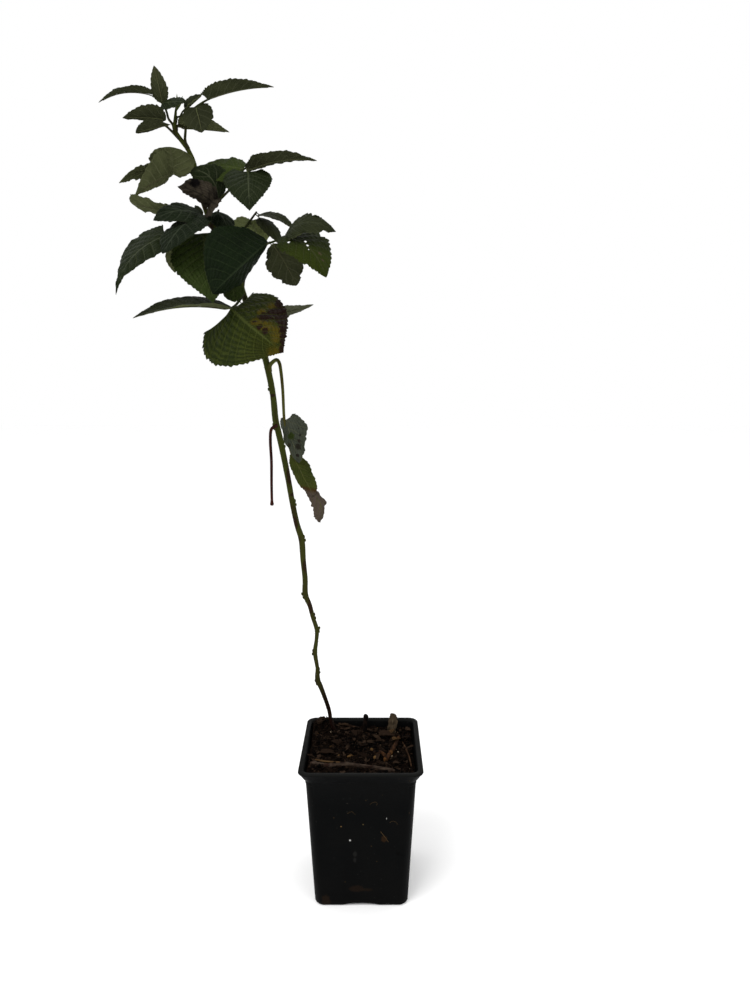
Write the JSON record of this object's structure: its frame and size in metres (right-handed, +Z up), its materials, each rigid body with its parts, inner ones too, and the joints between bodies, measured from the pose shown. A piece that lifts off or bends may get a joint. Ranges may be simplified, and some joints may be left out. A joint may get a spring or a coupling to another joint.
{
  "type": "potted_plant",
  "caption": "Young raspberry cane leaning out of a square black nursery pot, with saw-edged leaves at its top, two dead leaves and bark-strewn compost",
  "frame": {"origin": "centre of the pot's base, on the plane it stands on", "axes": "+Z up along the pot, -Y towards the side seen in the picture, +X to that view's right"},
  "size_m": [0.2652, 0.1113, 0.724],
  "materials": {
    "pot_plastic": "matt",
    "compost": "rough",
    "green_bark": "smooth",
    "leaf_green": "soft",
    "dead_leaf": "dry",
    "dead_stalk": "dry",
    "front_twig": "dry",
    "pale_straw": "dry",
    "bent_twig": "dry",
    "side_straw": "dry",
    "back_twig": "dry",
    "short_twig": "dry",
    "cut_stub": "rough",
    "dried_scrap": "dry"
  },
  "bodies": {
    "root": {"pot": "pot_plastic", "soil": "compost", "cane": "green_bark", "leaf_01": "leaf_green", "leaf_02": "leaf_green", "leaf_03": "leaf_green", "leaf_04": "leaf_green", "leaf_05": "leaf_green", "leaf_06": "leaf_green", "leaf_07": "leaf_green", "leaf_08": "leaf_green", "leaf_09": "leaf_green", "leaf_10": "leaf_green", "leaf_11": "leaf_green", "leaf_12": "leaf_green", "leaf_13": "leaf_green", "young_leaf": "leaf_green", "dead_leaf_low": "dead_leaf", "dead_leaf_upper": "dead_leaf", "dead_stalk": "dead_stalk", "front_twig": "front_twig", "pale_straw": "pale_straw", "bent_twig": "bent_twig", "side_straw": "side_straw", "back_twig": "back_twig", "short_twig": "short_twig", "cut_stub": "cut_stub", "dried_scrap": "dried_scrap"}
  },
  "joints": []
}
